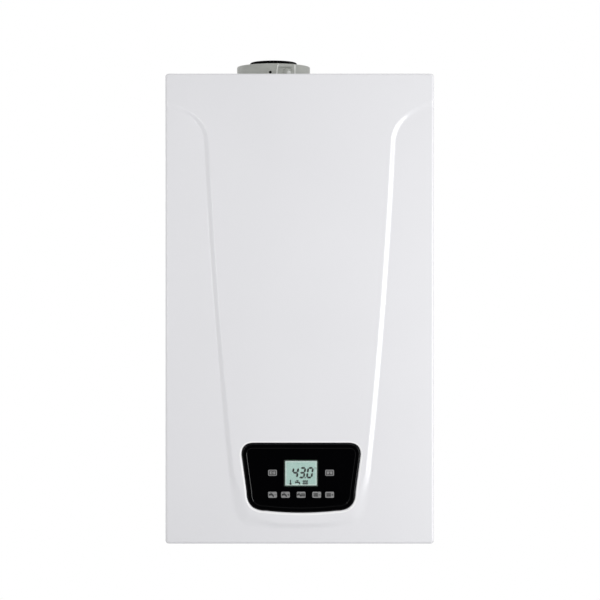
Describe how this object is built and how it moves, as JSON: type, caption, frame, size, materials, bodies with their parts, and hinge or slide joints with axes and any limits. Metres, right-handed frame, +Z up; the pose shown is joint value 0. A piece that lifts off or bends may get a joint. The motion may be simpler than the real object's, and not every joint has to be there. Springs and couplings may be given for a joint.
{
  "type": "combi boiler",
  "caption": "Wall-hung gas combi boiler: white steel case with a pressed front panel, black control facia with display and keys, and a flue collar on top.",
  "frame": {"origin": "on the wall plane, on the centre line, at the height of the wall hooks", "axes": "+Z up, +Y into the wall, -Y towards the user, +X to the user's right"},
  "size_m": [0.4, 0.299, 0.734],
  "materials": {
    "zinc_steel": "zinc-plated sheet",
    "case_paint": "white powder coat, satin",
    "foam": "closed-cell foam",
    "facia_gloss": "high gloss black",
    "lens": "clear window",
    "lcd": "display behind its window",
    "black_plastic": "moulded, fine grain",
    "board": "circuit board",
    "key_grey": "grey key",
    "grey_plastic": "grey moulded plastic",
    "black_rubber": "black seal",
    "stainless": "stainless",
    "cast_aluminium": "as cast",
    "pump_housing": "as cast",
    "copper": "copper tube",
    "brass": "forged brass",
    "vessel_paint": "red paint",
    "red_plastic": "red knob",
    "gauge_white": "white gauge",
    "ceramic": "white ceramic"
  },
  "bodies": {
    "chassis": {"back_panel": "zinc_steel", "hanging_rail": "zinc_steel", "side_panel_left": "case_paint", "side_panel_right": "case_paint", "top_panel": "case_paint", "bottom_panel": "zinc_steel", "hinge_bracket": "zinc_steel", "flue_collar": "grey_plastic", "flue_seal": "black_rubber", "exhaust_duct": "stainless", "heat_exchanger": "cast_aluminium", "burner_door": "cast_aluminium", "burner_tube": "stainless", "gas_air_duct": "cast_aluminium", "fan_housing": "cast_aluminium", "fan_motor": "black_plastic", "air_intake": "black_plastic", "gas_valve": "cast_aluminium", "gas_pipe": "copper", "spark_electrode": "ceramic", "plate_heat_exchanger": "stainless", "pump_volute": "brass", "pump_motor": "pump_housing", "air_vent": "brass", "expansion_vessel": "vessel_paint", "expansion_pipe": "copper", "diverter_body": "brass", "diverter_motor": "black_plastic", "flow_riser": "copper", "return_riser": "copper", "hot_water_pipe": "copper", "cold_water_pipe": "copper", "condensate_trap": "grey_plastic", "condensate_hose": "grey_plastic", "pressure_gauge": "gauge_white"},
    "front_panel": {"casing_front": "case_paint", "front_gasket": "foam", "front_screw_left": "zinc_steel", "front_screw_right": "zinc_steel"},
    "control_box": {"control_facia": "facia_gloss", "display_window": "lens", "display_module": "lcd", "control_housing": "black_plastic", "circuit_board": "board", "control_rear_cover": "black_plastic"},
    "key_reset": {"key_reset": "key_grey"},
    "key_info": {"key_info": "key_grey"},
    "key_water_down": {"key_water_down": "key_grey"},
    "key_water_up": {"key_water_up": "key_grey"},
    "key_mode": {"key_mode": "key_grey"},
    "key_heating_down": {"key_heating_down": "key_grey"},
    "key_heating_up": {"key_heating_up": "key_grey"},
    "fan_impeller": {"fan_impeller": "cast_aluminium"},
    "pump_rotor": {"pump_rotor": "black_plastic"},
    "diverter_spindle": {"diverter_spindle": "stainless"},
    "relief_knob": {"relief_knob": "red_plastic"},
    "gauge_pointer": {"gauge_pointer": "black_plastic"},
    "drain_cock": {"drain_cock": "brass"},
    "test_cap_gas": {"test_cap_gas": "black_plastic"},
    "test_cap_air": {"test_cap_air": "black_plastic"}
  },
  "joints": [
    {"name": "front_slide", "type": "slide", "parent": "chassis", "child": "front_panel", "axis": [0, -1, 0], "range_m": [0, 0.48]},
    {"name": "control_box_hinge", "type": "hinge", "parent": "chassis", "child": "control_box", "pos_m": [0, -0.275, -0.615], "axis": [1, 0, 0], "range_deg": [0, 90]},
    {"name": "key_reset_press", "type": "slide", "parent": "control_box", "child": "key_reset", "axis": [0, 1, 0], "range_m": [0, 0.001], "stiffness_N_per_m": 400},
    {"name": "key_info_press", "type": "slide", "parent": "control_box", "child": "key_info", "axis": [0, 1, 0], "range_m": [0, 0.001], "stiffness_N_per_m": 400},
    {"name": "key_water_down_press", "type": "slide", "parent": "control_box", "child": "key_water_down", "axis": [0, 1, 0], "range_m": [0, 0.001], "stiffness_N_per_m": 400},
    {"name": "key_water_up_press", "type": "slide", "parent": "control_box", "child": "key_water_up", "axis": [0, 1, 0], "range_m": [0, 0.001], "stiffness_N_per_m": 400},
    {"name": "key_mode_press", "type": "slide", "parent": "control_box", "child": "key_mode", "axis": [0, 1, 0], "range_m": [0, 0.001], "stiffness_N_per_m": 400},
    {"name": "key_heating_down_press", "type": "slide", "parent": "control_box", "child": "key_heating_down", "axis": [0, 1, 0], "range_m": [0, 0.001], "stiffness_N_per_m": 400},
    {"name": "key_heating_up_press", "type": "slide", "parent": "control_box", "child": "key_heating_up", "axis": [0, 1, 0], "range_m": [0, 0.001], "stiffness_N_per_m": 400},
    {"name": "fan_spin", "type": "hinge", "parent": "chassis", "child": "fan_impeller", "pos_m": [0.007, -0.2, -0.315], "axis": [0, 1, 0], "continuous": true},
    {"name": "pump_spin", "type": "hinge", "parent": "chassis", "child": "pump_rotor", "pos_m": [0.13, -0.115, -0.55], "axis": [0, 1, 0], "continuous": true},
    {"name": "diverter_lift", "type": "slide", "parent": "chassis", "child": "diverter_spindle", "axis": [0, 0, 1], "range_m": [0, 0.007]},
    {"name": "relief_turn", "type": "hinge", "parent": "chassis", "child": "relief_knob", "pos_m": [-0.13, -0.16, -0.55], "axis": [0, 1, 0], "range_deg": [0, 90]},
    {"name": "pointer_turn", "type": "hinge", "parent": "chassis", "child": "gauge_pointer", "pos_m": [0.092, -0.196, -0.63], "axis": [0, 0, -1], "range_deg": [0, 240]},
    {"name": "drain_turn", "type": "hinge", "parent": "chassis", "child": "drain_cock", "pos_m": [0.097, -0.115, -0.62], "axis": [0, 0, 1], "range_deg": [0, 90]},
    {"name": "test_cap_gas_pull", "type": "slide", "parent": "chassis", "child": "test_cap_gas", "axis": [0.4067, -0.9135, 0], "range_m": [0, 0.012]},
    {"name": "test_cap_air_pull", "type": "slide", "parent": "chassis", "child": "test_cap_air", "axis": [-0.0698, -0.9976, 0], "range_m": [0, 0.012]}
  ],
  "couplings": [
    {"joint": "control_box_hinge", "follows": "front_slide", "rad_per_m": 3.27}
  ]
}
